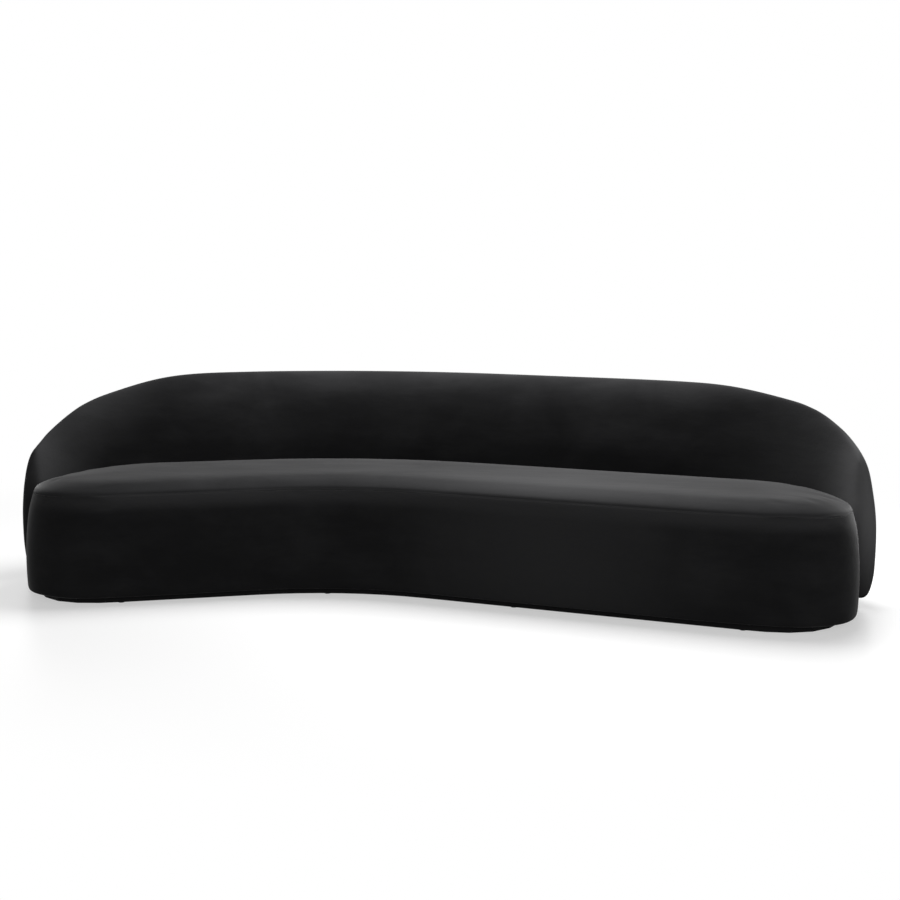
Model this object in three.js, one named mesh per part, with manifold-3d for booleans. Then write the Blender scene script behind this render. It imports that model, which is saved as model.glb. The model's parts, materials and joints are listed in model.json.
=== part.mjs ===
// Curved sofa: a boomerang seat block with round ends, and a thick back that wraps round it
// and falls away to an arm at each end. Millimetres, +Z up, the front faces -Y.
import * as THREE from 'three';
import { mergeVertices } from 'three/addons/utils/BufferGeometryUtils.js';
import Module from 'manifold-3d';

const wasm = await Module();
wasm.setup();

// Plan of the sofa: a centre line of two straight wings and one bend
const plan = {
  shortWing: 480,
  longWing: 1140,
  bendRadius: 1275,
  bendDegrees: 35.6,
  halfWidth: 331, // centre line to the seat's side
  frontSquareness: 2.6, // 2 makes the front of an end a quarter circle, more makes it squarer
  rearSquareness: 1.95,
  slot: 9, // dark slot between the seat's side and the back
  floorGap: 27,
};

// Seat block, heights above the floor
const seat = {
  seamHeight: 387,
  crownRise: 43, // height of the middle of the top above the seam
  crownRoundness: 2.4,
  bulgeHeight: 157, // where the side stands furthest out
  topDraw: 30, // how far the side is drawn in at the seam
  bottomDraw: 2,
  cornerRadius: 9,
  lip: 26, // cloth turned under the edge
  foamDepth: 95, // from the seam down to the underside of the foam
  endDrop: 18, // how far the seam dips at the tips of the ends
  frontDropPower: 4, // the dip fades quickly towards the front, slowly towards the rear
  rearDropPower: 2,
};

// Back and arms, heights above the floor; widths are measured in the upright section
const back = {
  height: 745,
  shortArmHeight: 507, // top of the arm where it starts to turn down
  longArmHeight: 545,
  shortFall: 740, // length over which the top edge falls to the short wing's arm
  longFall: 900,
  shortFallPower: 2.4,
  longFallPower: 3.6,
  innerLean: 132, // inner face to the top of the roll, in the middle
  outerLean: 120, // top of the roll to the outer face, in the middle
  armInnerLean: 18,
  armOuterLean: 74,
  thicknessRun: 960, // length over which the arm grows to the full thickness
  rollStart: 407, // where the upright inner face begins to curve back
  rollStartDrop: 80, // the same on a low arm, below its top
  bulgeHeight: 197, // where the outer face stands furthest out
  bottomDraw: 46,
  armBackDegrees: 37, // angle behind the seat's end at which the arm's nose begins
  noseFlat: 337, // height above which the nose is rounded off
  noseLift: 24, // rounding of the nose's lower corner
  noseEndDegrees: 84, // the nose closes on a narrow upright edge
  lip: 14,
  seamShare: 0.35, // place of the cloth's rear seam between the roll's top and the widest point
};

// Cloth, foam and board thicknesses
const cloth = 2.5;
const gap = 0.3; // running gap between pieces that touch
const seamGap = 0.4;
const sideFoam = 33;
const backFoam = 22;
const frameClearance = 1;
const armCoreDrop = 12; // soft foam over the top of an arm's core
const board = { bottom: 18, rail: 15, rib: 18, deck: 12, panel: 4 };
const strapSize = { width: 60, thickness: 2 };
const dustSheet = 0.8;

// Openings in the seat's boards and ribs
const opening = { ribMargin: 70, bottomRim: 110, deckRim: 45, squareness: 5, ribRimShare: 0.25 };

// Steel plates that join the back to the seat from below
const plate = { thickness: 3, width: 70, overlap: 50, corner: 14, holeRadius: 4, holeInset: 18 };

// Black plinths under the seat and the back, set in from the cloth's edge
const plinth = { inset: 45, width: 30, backShare: 0.28 };

// Glides: thin plastic discs under the plinths
const glide = { radius: 12, height: 3, edge: 1 };

// Bent rail that ties the back's ribs together under the roll
const topRail = { width: 22, height: 32, below: 70 };

// Steps of the surfaces
const steps = {
  shortRun: 3, bendRun: 8, longRun: 6, end: 12, armEnd: 5, nose: 4,
  roll: 5, lower: 3, opening: 16, corner: 3, glide: 12,
};
const counts = {
  seatRibs: 5, straps: 5, backRibs: 8, backFoams: 4, seatGlides: 4, backGlides: 5, joiningPlates: 3,
};

const colours = {
  velvet: 0x1b1b1d, foam: 0xe8dfc8, plywood: 0xc9a877, beech: 0xd2ab78, webbing: 0x2b2a28,
  felt: 0x151515, steel: 0x9a9da1, plastic: 0x101010, plinth: 0x0c0c0d,
};
const finish = {
  velvet: { color: colours.velvet, roughness: 0.9, metalness: 0 },
  foam: { color: colours.foam, roughness: 1, metalness: 0 },
  plywood: { color: colours.plywood, roughness: 0.7, metalness: 0 },
  beech: { color: colours.beech, roughness: 0.6, metalness: 0 },
  webbing: { color: colours.webbing, roughness: 0.9, metalness: 0 },
  felt: { color: colours.felt, roughness: 1, metalness: 0 },
  steel: { color: colours.steel, roughness: 0.4, metalness: 1 },
  plastic: { color: colours.plastic, roughness: 0.5, metalness: 0 },
  plinth: { color: colours.plinth, roughness: 0.6, metalness: 0 },
};

const sofa = new THREE.Group();

function addPiece(name, geometry, look) {
  const mesh = new THREE.Mesh(geometry, new THREE.MeshStandardMaterial(look));
  mesh.name = name;
  sofa.add(mesh);
  return mesh;
}

// Centre line

const bendAngle = THREE.MathUtils.degToRad(plan.bendDegrees);
const bendLength = plan.bendRadius * bendAngle;
const lineLength = plan.shortWing + bendLength + plan.longWing;

// Point and heading at a distance from the short wing's end, before the line is turned level
function rawLine(distance) {
  const turned = THREE.MathUtils.clamp((distance - plan.shortWing) / plan.bendRadius, 0, bendAngle);
  const heading = -turned;
  const first = Math.min(distance, plan.shortWing);
  const last = Math.max(distance - plan.shortWing - bendLength, 0);
  const x = first + plan.bendRadius * Math.sin(turned) + last * Math.cos(heading);
  const y = -plan.bendRadius * (1 - Math.cos(turned)) + last * Math.sin(heading);
  return { x, y, heading };
}

const farEnd = rawLine(lineLength);
const levelTurn = -Math.atan2(farEnd.y, farEnd.x);

function linePoint(distance) {
  const raw = rawLine(distance);
  const c = Math.cos(levelTurn);
  const s = Math.sin(levelTurn);
  return { x: raw.x * c - raw.y * s, y: raw.x * s + raw.y * c, heading: raw.heading + levelTurn };
}

// Distances of the stations: a few on each straight, more round the bend
function stationDistances() {
  const list = [];
  for (let i = 0; i < steps.shortRun; i++) list.push((plan.shortWing * i) / steps.shortRun);
  for (let i = 0; i < steps.bendRun; i++) list.push(plan.shortWing + (bendLength * i) / steps.bendRun);
  for (let i = 0; i <= steps.longRun; i++) {
    list.push(plan.shortWing + bendLength + (plan.longWing * i) / steps.longRun);
  }
  return list;
}

// How much a squarish end stands out past a half circle, at an angle from its tip to the rear
function endReach(angle) {
  const n = angle < 0 ? plan.frontSquareness : plan.rearSquareness;
  return (Math.abs(Math.cos(angle)) ** n + Math.abs(Math.sin(angle)) ** n) ** (-1 / n);
}

// A ray of the plan starts on the centre line and points outwards; reach is its end reach and
// tipShare is 1 at the tip of an end, 0 on the sides
function sideRay(distance, side) {
  const p = linePoint(distance);
  const across = { dx: -Math.sin(p.heading) * side, dy: Math.cos(p.heading) * side };
  return { x: p.x, y: p.y, ...across, reach: 1, tipShare: 0 };
}

function tipShare(angle) {
  return Math.cos(angle) ** (angle < 0 ? seat.frontDropPower : seat.rearDropPower);
}

function endRay(atFar, angle) {
  const p = linePoint(atFar ? lineLength : 0);
  const tip = atFar ? p.heading : p.heading + Math.PI;
  const turn = atFar ? angle : -angle;
  const across = { dx: Math.cos(tip + turn), dy: Math.sin(tip + turn) };
  return { x: p.x, y: p.y, ...across, reach: endReach(angle), tipShare: tipShare(angle) };
}

// Rays all round the seat, counter-clockwise from the front of the short wing
function ringRays() {
  const distances = stationDistances();
  const front = distances.map((d) => sideRay(d, -1));
  const rear = distances.map((d) => sideRay(d, 1)).reverse();
  const far = [];
  const near = [];
  for (let i = 1; i < steps.end; i++) {
    const angle = -Math.PI / 2 + (Math.PI * i) / steps.end;
    far.push(endRay(true, angle));
    near.push(endRay(false, -angle));
  }
  return [...front, ...far, ...rear, ...near];
}

const rays = ringRays();
const frontCount = stationDistances().length;

function pointOnRay(ray, offset, height) {
  const w = offset * ray.reach;
  const share = (height - level.foam) / (seat.seamHeight - level.foam);
  const drop = seat.endDrop * ray.tipShare * (offset / plan.halfWidth) ** 2;
  const z = height - drop * THREE.MathUtils.clamp(share, 0, 1);
  return new THREE.Vector3(ray.x + ray.dx * w, ray.y + ray.dy * w, z);
}

function loopAt(offset, height) {
  return rays.map((ray) => pointOnRay(ray, offset, height));
}

// Mesh helpers

function geometryFrom(points, faces) {
  const position = new Float32Array(points.flatMap((p) => [p.x, p.y, p.z]));
  const index = [];
  for (const face of faces) {
    for (let i = 2; i < face.length; i++) index.push(face[0], face[i - 1], face[i]);
  }
  const geometry = new THREE.BufferGeometry();
  geometry.setAttribute('position', new THREE.BufferAttribute(position, 3));
  geometry.setIndex(index);
  geometry.computeVertexNormals();
  return geometry;
}

// Faces between loops of equal length, each loop above the last as seen from outside
function loopFaces(loopCount, size) {
  const faces = [];
  for (let k = 0; k + 1 < loopCount; k++) {
    for (let i = 0; i < size; i++) {
      const j = (i + 1) % size;
      faces.push([k * size + i, k * size + j, (k + 1) * size + j, (k + 1) * size + i]);
    }
  }
  return faces;
}

// Closes the long narrow hole along the centre line, from loop number k
function ridgeFaces(k, size) {
  const base = k * size;
  const farCount = steps.end - 1;
  const faces = [];
  const rearOf = (i) => base + frontCount + farCount + (frontCount - 1 - i);
  for (let i = 0; i + 1 < frontCount; i++) faces.push([base + i, base + i + 1, rearOf(i + 1), rearOf(i)]);
  const far = [];
  for (let i = 0; i <= farCount + 1; i++) far.push(base + frontCount - 1 + i);
  const near = [];
  for (let i = 0; i <= farCount; i++) near.push(base + 2 * frontCount + farCount - 1 + i);
  near.push(base);
  return [...faces, far, near];
}

// A sheet with thickness: the faces on the outer points, again on the inner points, and walls between
function thickSheet(outer, inner, faces) {
  const count = outer.length;
  const used = new Set();
  for (const face of faces) {
    face.forEach((a, i) => used.add(`${a},${face[(i + 1) % face.length]}`));
  }
  const walls = [];
  for (const face of faces) {
    face.forEach((a, i) => {
      const b = face[(i + 1) % face.length];
      if (!used.has(`${b},${a}`)) walls.push([b, a, a + count, b + count]);
    });
  }
  const inside = faces.map(([a, ...rest]) => [a, ...rest.reverse()].map((i) => i + count));
  return geometryFrom([...outer, ...inner], [...faces, ...inside, ...walls]);
}

function extruded(shape, depth) {
  return new THREE.ExtrudeGeometry(shape, { depth, bevelEnabled: false, curveSegments: steps.corner });
}

// A flat plate from an outline and openings, each a list of plan points
function flatPlate(outline, openings, bottom, thickness) {
  const flat = (points) => points.map((p) => new THREE.Vector2(p.x, p.y));
  const shape = new THREE.Shape(flat(outline));
  for (const hole of openings) shape.holes.push(new THREE.Path(flat(hole)));
  return extruded(shape, thickness).translate(0, 0, bottom);
}

// A closed bar or block through rings of equal length, capped at both ends
function loft(rings) {
  const size = rings[0].length;
  const faces = [];
  for (let i = 0; i + 1 < rings.length; i++) {
    for (let k = 0; k < size; k++) {
      const m = (k + 1) % size;
      faces.push([i * size + m, (i + 1) * size + m, (i + 1) * size + k, i * size + k]);
    }
  }
  const cap = Array.from({ length: size }, (_, k) => k);
  const end = (rings.length - 1) * size;
  faces.push([...cap].reverse(), cap.map((k) => end + k));
  return geometryFrom(rings.flat(), faces);
}

function toSolid(geometry) {
  const bare = geometry.clone();
  for (const name of Object.keys(bare.attributes)) if (name !== 'position') bare.deleteAttribute(name);
  const merged = mergeVertices(bare);
  const mesh = new wasm.Mesh({
    numProp: merged.attributes.position.itemSize,
    vertProperties: new Float32Array(merged.attributes.position.array),
    triVerts: new Uint32Array(merged.index.array),
  });
  return new wasm.Manifold(mesh);
}

function fromSolid(solid) {
  const mesh = solid.getMesh();
  const geometry = new THREE.BufferGeometry();
  const points = new Float32Array(mesh.vertProperties);
  geometry.setAttribute('position', new THREE.BufferAttribute(points, mesh.numProp));
  geometry.setIndex(new THREE.BufferAttribute(new Uint32Array(mesh.triVerts), 1));
  geometry.computeVertexNormals();
  return geometry;
}

// Levels that the pieces share
const level = {};
level.underside = plan.floorGap;
level.board = level.underside + cloth + gap;
level.rail = level.board + board.bottom + gap;
level.foam = seat.seamHeight - seat.foamDepth;
level.strap = level.foam - gap - strapSize.thickness;
level.deck = level.strap - gap - board.deck;
level.railTop = level.deck - gap;

// Seat surfaces

function sideDraw(z) {
  const above = Math.max(z - seat.bulgeHeight, 0) / (seat.seamHeight - seat.bulgeHeight);
  const below = Math.max(seat.bulgeHeight - z, 0) / (seat.bulgeHeight - level.underside);
  return seat.topDraw * above ** 2 + seat.bottomDraw * below ** 2;
}

// One row of the side stands level with the foam's underside
const sideLow = level.underside + seat.cornerRadius;
const foamShare = (level.foam - sideLow) / (seat.seamHeight - sideLow);
const sideShares = [0.1, 0.4, foamShare, 0.88];
const crownShares = [0.012, 0.05, 0.12, 0.24, 0.42, 0.66, 0.9];

// Rows [offset, height] of the seat's side from the turned-under lip to the seam, at a depth
// below the cloth
function sideRows(depth) {
  const r = seat.cornerRadius - Math.min(depth, cloth + gap);
  const low = level.underside + Math.min(depth, cloth + gap);
  const cornerOffset = plan.halfWidth - depth - sideDraw(low + r);
  const rows = [[cornerOffset - r, low]];
  rows.push([cornerOffset - r * (1 - Math.SQRT1_2), low + r * (1 - Math.SQRT1_2)]);
  rows.push([cornerOffset, low + r]);
  for (const share of sideShares) {
    const z = sideLow + (seat.seamHeight - sideLow) * share;
    rows.push([plan.halfWidth - depth - sideDraw(z), z]);
  }
  return rows;
}

function seamOffset(depth) {
  return plan.halfWidth - depth - seat.topDraw;
}

// Rows of the side that lie between two heights, cut exactly at both
function sideRowsBetween(depth, low, high) {
  const rows = [...sideRows(depth), [seamOffset(depth), seat.seamHeight - depth - seamGap]];
  const cut = (z) => {
    const i = rows.findIndex((row, n) => n > 0 && row[1] >= z && rows[n - 1][1] < z);
    const [a, b] = [rows[i - 1], rows[i]];
    return [THREE.MathUtils.mapLinear(z, a[1], b[1], a[0], b[0]), z];
  };
  const inside = rows.filter(([, z]) => z > low + gap && z < high - gap);
  const start = low > rows[0][1] ? [cut(low)] : [rows[0]];
  return [...start, ...inside, cut(high)];
}

// Rows of the seat's top from just above the seam to the centre line
function topRows(depth, above) {
  const edge = seamOffset(depth);
  const rows = [[edge, seat.seamHeight - depth + above]];
  for (const share of crownShares) {
    const lift = (1 - (1 - share) ** seat.crownRoundness) ** (1 / seat.crownRoundness);
    rows.push([edge * (1 - share), seat.seamHeight - depth + above + seat.crownRise * lift]);
  }
  return rows;
}

function loopsFrom(rows) {
  return rows.flatMap(([offset, height]) => loopAt(offset, height));
}

function seatTopCover() {
  const outer = topRows(0, seamGap / 2);
  const inner = topRows(cloth, seamGap / 2);
  const faces = [...loopFaces(outer.length, rays.length), ...ridgeFaces(outer.length - 1, rays.length)];
  return thickSheet(loopsFrom(outer), loopsFrom(inner), faces);
}

function seatSideCover() {
  const rowsAt = (depth) => {
    const rows = sideRows(depth);
    const lip = [rows[0][0] - seat.lip + depth, rows[0][1]];
    return [lip, ...rows, [seamOffset(depth), seat.seamHeight - depth - seamGap / 2]];
  };
  const outer = rowsAt(0);
  return thickSheet(loopsFrom(outer), loopsFrom(rowsAt(cloth)), loopFaces(outer.length, rays.length));
}

// Foam ring round the rails: its outer side follows the cloth, its inner side the rails
function sidePadding() {
  const depth = cloth + gap;
  const top = level.foam - gap;
  const outer = sideRowsBetween(depth, level.underside, top);
  const railSide = plan.halfWidth - sideFoam;
  const inner = [[railSide, top], [railSide, outer[0][1]]];
  const rows = [...outer, ...inner];
  rows.push(rows[0]);
  const size = rays.length;
  const faces = loopFaces(rows.length, size);
  const count = (rows.length - 1) * size;
  return geometryFrom(loopsFrom(rows.slice(0, -1)), faces.map((face) => face.map((a) => a % count)));
}

function seatFoam() {
  const depth = cloth + gap;
  const seam = seat.seamHeight - depth - seamGap;
  const rows = [...sideRowsBetween(depth, level.foam, seam), ...topRows(depth, -seamGap).slice(1)];
  const size = rays.length;
  const points = loopsFrom(rows);
  const faces = [...loopFaces(rows.length, size), ...ridgeFaces(rows.length - 1, size)];
  const bottom = ridgeFaces(0, size).map((face) => [...face].reverse());
  return geometryFrom(points, [...faces, ...bottom]);
}

// Seat frame

const railSide = plan.halfWidth - sideFoam - gap; // outer face of the rails and edge of the boards
const railInside = railSide - board.rail;

// How far a flat step of the bend dips inside the true arc, at the seat's rear side
const bendDip = (plan.bendRadius + plan.halfWidth) * (1 - Math.cos(bendAngle / (2 * steps.bendRun)));

// Places along the centre line where ribs stand
function spread(count) {
  return Array.from({ length: count }, (_, i) => (lineLength * i) / (count - 1));
}

const ribPlaces = spread(counts.seatRibs);

// A round-cornered opening that follows the centre line between two places
function bayOpening(from, to, halfSpan) {
  const round = (v) => Math.sign(v) * Math.abs(v) ** (2 / opening.squareness);
  const points = [];
  for (let i = 0; i < steps.opening; i++) {
    const angle = (2 * Math.PI * i) / steps.opening;
    const distance = (from + to) / 2 + ((to - from) / 2) * round(Math.cos(angle));
    const ray = sideRay(distance, -1);
    const w = halfSpan * round(Math.sin(-angle));
    points.push(new THREE.Vector2(ray.x + ray.dx * w, ray.y + ray.dy * w));
  }
  return points;
}

function bayOpenings(halfSpan) {
  const openings = [];
  for (let i = 0; i + 1 < ribPlaces.length; i++) {
    const [from, to] = [ribPlaces[i] + opening.ribMargin, ribPlaces[i + 1] - opening.ribMargin];
    openings.push(bayOpening(from, to, halfSpan));
  }
  return openings;
}

function bottomBoard() {
  const openings = bayOpenings(railSide - opening.bottomRim);
  return flatPlate(loopAt(railSide, 0), openings, level.board, board.bottom);
}

function seatDeck() {
  const openings = bayOpenings(railSide - opening.deckRim);
  return flatPlate(loopAt(railSide, 0), openings, level.deck, board.deck);
}

// A bent rail between two offsets from the centre line, on the rays that it follows
function bentRail(railRays) {
  const outside = railRays.map((ray) => pointOnRay(ray, railSide, 0));
  const inside = railRays.map((ray) => pointOnRay(ray, railInside, 0)).reverse();
  return flatPlate([...outside, ...inside], [], level.rail, level.railTop - level.rail);
}

// Rays of one end, without the two that the long rails end on
function endRays(atFar) {
  const list = [];
  for (let i = 0; i <= steps.end; i++) {
    const angle = -Math.PI / 2 + (Math.PI * i) / steps.end;
    list.push(endRay(atFar, atFar ? angle : -angle));
  }
  return list;
}

function sideRailRays(side) {
  const list = stationDistances().map((d) => sideRay(d, side));
  return side < 0 ? list : list.reverse();
}

// Shifts the two end stations of a rail so that its neighbour has room
function shortened(list, room) {
  const first = list[0];
  const last = list[list.length - 1];
  const move = (ray, other) => {
    const length = Math.hypot(other.x - ray.x, other.y - ray.y);
    const k = length > 0 ? room / length : 0;
    return { ...ray, x: ray.x + (other.x - ray.x) * k, y: ray.y + (other.y - ray.y) * k };
  };
  return [move(first, list[1]), ...list.slice(1, -1), move(last, list[list.length - 2])];
}

// Rectangle with rounded corners, between two opposite corner points
function roundedOutline(path, left, low, right, top, radius) {
  path.absarc(right - radius, top - radius, radius, 0, Math.PI / 2);
  path.absarc(left + radius, top - radius, radius, Math.PI / 2, Math.PI);
  path.absarc(left + radius, low + radius, radius, Math.PI, 1.5 * Math.PI);
  return path.absarc(right - radius, low + radius, radius, 1.5 * Math.PI, 2 * Math.PI);
}

// Upright rib across the seat frame, with a round-cornered lightening hole
function seatRib(distance) {
  const half = railInside - bendDip - gap;
  const height = level.railTop - level.rail;
  const shape = new THREE.Shape();
  shape.moveTo(-half, 0);
  shape.lineTo(half, 0);
  shape.lineTo(half, height);
  shape.lineTo(-half, height);
  shape.closePath();
  const rim = height * opening.ribRimShare;
  shape.holes.push(roundedOutline(new THREE.Path(), -half + rim, rim, half - rim, height - rim, rim));
  const geometry = extruded(shape, board.rib).translate(0, 0, -board.rib / 2);
  const p = linePoint(distance);
  const across = new THREE.Vector3(-Math.sin(p.heading), Math.cos(p.heading), 0);
  const up = new THREE.Vector3(0, 0, 1);
  const along = new THREE.Vector3().crossVectors(across, up);
  const place = new THREE.Matrix4().makeBasis(across, up, along).setPosition(p.x, p.y, level.rail);
  return geometry.applyMatrix4(place);
}

// Ribs stand off the ends by their thickness, so that the bent end rails clear them
function seatRibPlaces() {
  const inset = board.rib / 2 + gap;
  return ribPlaces.map((d) => THREE.MathUtils.clamp(d, inset, lineLength - inset));
}

function strapPlaces() {
  const bays = ribPlaces.length - 1;
  return Array.from({ length: counts.straps }, (_, i) => {
    const place = ((i + 0.5) * lineLength) / counts.straps;
    const bay = Math.min(Math.floor((place / lineLength) * bays), bays - 1);
    const low = ribPlaces[bay] + opening.ribMargin + strapSize.width / 2;
    const high = ribPlaces[bay + 1] - opening.ribMargin - strapSize.width / 2;
    return THREE.MathUtils.clamp(place, low, high);
  });
}

function strap(distance) {
  const p = linePoint(distance);
  const length = 2 * (railSide - board.rail);
  const geometry = new THREE.BoxGeometry(strapSize.width, length, strapSize.thickness);
  geometry.rotateZ(p.heading);
  return geometry.translate(p.x, p.y, level.strap + strapSize.thickness / 2);
}

// Thin felt under the seat, inside the turned-under cloth
function seatDustSheet() {
  const edge = plan.halfWidth - seat.bottomDraw - seat.cornerRadius - seat.lip - 2 * cloth - gap;
  return flatPlate(loopAt(edge, 0), [], level.board - gap - dustSheet, dustSheet);
}

// Levels of the plinths, between the glides and the dust sheets
const plinthBottom = glide.height + gap;
const plinthTop = level.board - dustSheet - 2 * gap;

// A plinth from its outline and openings, notched where the joining plates pass over it
function notchedPlinth(outline, openings) {
  let solid = toSolid(flatPlate(outline, openings, plinthBottom, plinthTop - plinthBottom));
  for (const place of platePlaces()) solid = solid.subtract(toSolid(plateNotch(place)));
  return fromSolid(solid);
}

function seatPlinth() {
  const outer = plan.halfWidth - plinth.inset;
  return notchedPlinth(loopAt(outer, 0), [loopAt(outer - plinth.width, 0)]);
}

function glideShape() {
  const profile = [
    [0, 0],
    [glide.radius - glide.edge, 0],
    [glide.radius, glide.edge],
    [glide.radius, glide.height],
    [0, glide.height],
  ].map(([r, z]) => new THREE.Vector2(r, z));
  return new THREE.LatheGeometry(profile, steps.glide).rotateX(Math.PI / 2);
}

// Places for the glides along the front and the rear of the seat's plinth
function seatGlidePlaces() {
  const places = [];
  for (const side of [-1, 1]) {
    for (let i = 0; i < counts.seatGlides; i++) {
      const ray = sideRay((lineLength * i) / (counts.seatGlides - 1), side);
      places.push(pointOnRay(ray, plan.halfWidth - plinth.inset - plinth.width / 2, 0));
    }
  }
  return places;
}

function platePlaces() {
  const bay = lineLength / counts.joiningPlates;
  return Array.from({ length: counts.joiningPlates }, (_, i) => bay * (i + 0.5));
}

const plateStart = railSide - plate.overlap;
const plateEnd = plan.halfWidth + plan.slot + backFoam + plate.overlap;
const plateBottom = level.underside - gap - plate.thickness;

function onSideRay(geometry, distance) {
  const ray = sideRay(distance, 1);
  return geometry.rotateZ(Math.atan2(ray.dy, ray.dx)).translate(ray.x, ray.y, 0);
}

// Room for a plate and its running gap, open to the plinth's top
function plateNotch(distance) {
  const length = plateEnd - plateStart + 2 * gap;
  const bottom = plateBottom - gap;
  const block = new THREE.BoxGeometry(length, plate.width + 2 * gap, level.board - bottom);
  return onSideRay(block.translate((plateStart + plateEnd) / 2, 0, (level.board + bottom) / 2), distance);
}

// Steel plate under both boards, with rounded corners and two screw holes at each end
function joiningPlate(distance) {
  const half = plate.width / 2;
  const shape = roundedOutline(new THREE.Shape(), plateStart, -half, plateEnd, half, plate.corner);
  for (const x of [plateStart + plate.holeInset, plateEnd - plate.holeInset]) {
    for (const y of [-half + plate.holeInset, half - plate.holeInset]) {
      shape.holes.push(new THREE.Path().absarc(x, y, plate.holeRadius, 0, 2 * Math.PI));
    }
  }
  return onSideRay(extruded(shape, plate.thickness).translate(0, 0, plateBottom), distance);
}

// Back surfaces

const armBack = THREE.MathUtils.degToRad(back.armBackDegrees);

// Rays of the back from the short wing's arm round the rear to the long wing's arm
function backRays() {
  const list = [];
  for (let i = 0; i < steps.armEnd; i++) {
    list.push(endRay(false, armBack + ((Math.PI / 2 - armBack) * i) / steps.armEnd));
  }
  for (const d of stationDistances()) list.push(sideRay(d, 1));
  for (let i = steps.armEnd - 1; i >= 0; i--) {
    list.push(endRay(true, armBack + ((Math.PI / 2 - armBack) * i) / steps.armEnd));
  }
  return list;
}

function smooth(t) {
  const u = THREE.MathUtils.clamp(t, 0, 1);
  return u * u * (3 - 2 * u);
}

// Sizes of the upright section at each ray
function backSections() {
  const list = backRays().map((ray) => ({ ray, inner: plan.halfWidth * ray.reach + plan.slot }));
  const crest = list.map(({ ray, inner }) => {
    const w = inner + back.armInnerLean;
    return new THREE.Vector2(ray.x + ray.dx * w, ray.y + ray.dy * w);
  });
  const run = [0];
  for (let i = 1; i < crest.length; i++) run.push(run[i - 1] + crest[i].distanceTo(crest[i - 1]));
  const total = run[run.length - 1];
  const fallAt = (distance, length, power) => Math.max(1 - distance / length, 0) ** power;
  list.forEach((section, i) => {
    const fromShort = run[i];
    const fromLong = total - run[i];
    const shortFall = fallAt(fromShort, back.shortFall, back.shortFallPower);
    const longFall = fallAt(fromLong, back.longFall, back.longFallPower);
    const shortDrop = (back.height - back.shortArmHeight) * shortFall;
    const longDrop = (back.height - back.longArmHeight) * longFall;
    const grow = smooth(Math.min(fromShort, fromLong) / back.thicknessRun);
    section.top = back.height - shortDrop - longDrop;
    section.crest = section.inner + THREE.MathUtils.lerp(back.armInnerLean, back.innerLean, grow);
    section.outer = section.crest + THREE.MathUtils.lerp(back.armOuterLean, back.outerLean, grow);
  });
  for (const [section, way] of [[list[0], -1], [list[list.length - 1], 1]]) {
    section.forward = { x: way * section.ray.dy, y: -way * section.ray.dx };
  }
  return list;
}

const sections = backSections();
const lastSection = sections.length - 1;

// Angles of the roll's outer quarter; cloth has two close together at its rear seam, other layers one
function outerAngles(isCloth) {
  const seamAngle = (Math.PI / 2) * back.seamShare;
  const halfSeam = isCloth ? seamGap / (2 * back.armOuterLean) : 0;
  const angles = [seamAngle - halfSeam];
  if (isCloth) angles.push(seamAngle + halfSeam);
  for (let i = 1; i <= steps.roll; i++) {
    const angle = ((Math.PI / 2) * i) / steps.roll;
    if (Math.abs(angle - seamAngle) > Math.PI / (4 * steps.roll)) angles.push(angle);
  }
  return angles.sort((a, b) => a - b);
}

// Points [w, z] of one upright section, from the inner side over the roll to the outer side;
// cloth has a turned-under lip at each end
function sectionPoints(section, depth, isCloth) {
  const low = level.underside + Math.min(depth, cloth + gap);
  const inner = section.inner + depth;
  const top = section.top - depth;
  const outer = section.outer - depth;
  const crest = Math.max(section.crest, inner);
  const rollStart = Math.min(back.rollStart, section.top - back.rollStartDrop);
  const points = isCloth ? [[section.inner + back.lip, low]] : [];
  points.push([inner, low]);
  for (let i = 0; i <= steps.roll; i++) {
    const a = ((Math.PI / 2) * i) / steps.roll;
    const w = inner + (crest - inner) * (1 - Math.cos(a));
    points.push([w, rollStart + (top - rollStart) * Math.sin(a)]);
  }
  for (const a of outerAngles(isCloth)) {
    const w = crest + (outer - crest) * Math.sin(a);
    points.push([w, back.bulgeHeight + (top - back.bulgeHeight) * Math.cos(a)]);
  }
  for (let i = 1; i <= steps.lower; i++) {
    const a = ((Math.PI / 2) * i) / steps.lower;
    const z = back.bulgeHeight - (back.bulgeHeight - low) * Math.sin(a);
    points.push([outer - back.bottomDraw * (1 - Math.cos(a)), z]);
  }
  if (isCloth) points.push([section.outer - back.bottomDraw - back.lip, low]);
  return points;
}

function toSpace(ray, w, z, forward = { x: 0, y: 0 }, advance = 0) {
  return new THREE.Vector3(
    ray.x + ray.dx * w + forward.x * advance,
    ray.y + ray.dy * w + forward.y * advance,
    z,
  );
}

// The rounded nose of an arm: the section narrows to a thin upright edge while it steps forward
function noseRing(section, points, depth, turn) {
  const middle = (section.inner + section.outer) / 2;
  const half = (section.outer - section.inner) / 2 - depth;
  const narrow = Math.cos(turn);
  const low = Math.min(...points.map(([, z]) => z));
  return points.map(([w, z]) => {
    const topped = z > back.noseFlat ? back.noseFlat + (z - back.noseFlat) * narrow : z;
    const nearFloor = THREE.MathUtils.clamp(1 - (z - low) / back.bulgeHeight, 0, 1) ** 2;
    const lifted = topped + back.noseLift * (1 - narrow) * nearFloor;
    const place = middle + (w - middle) * narrow;
    return toSpace(section.ray, place, lifted, section.forward, half * Math.sin(turn));
  });
}

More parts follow.
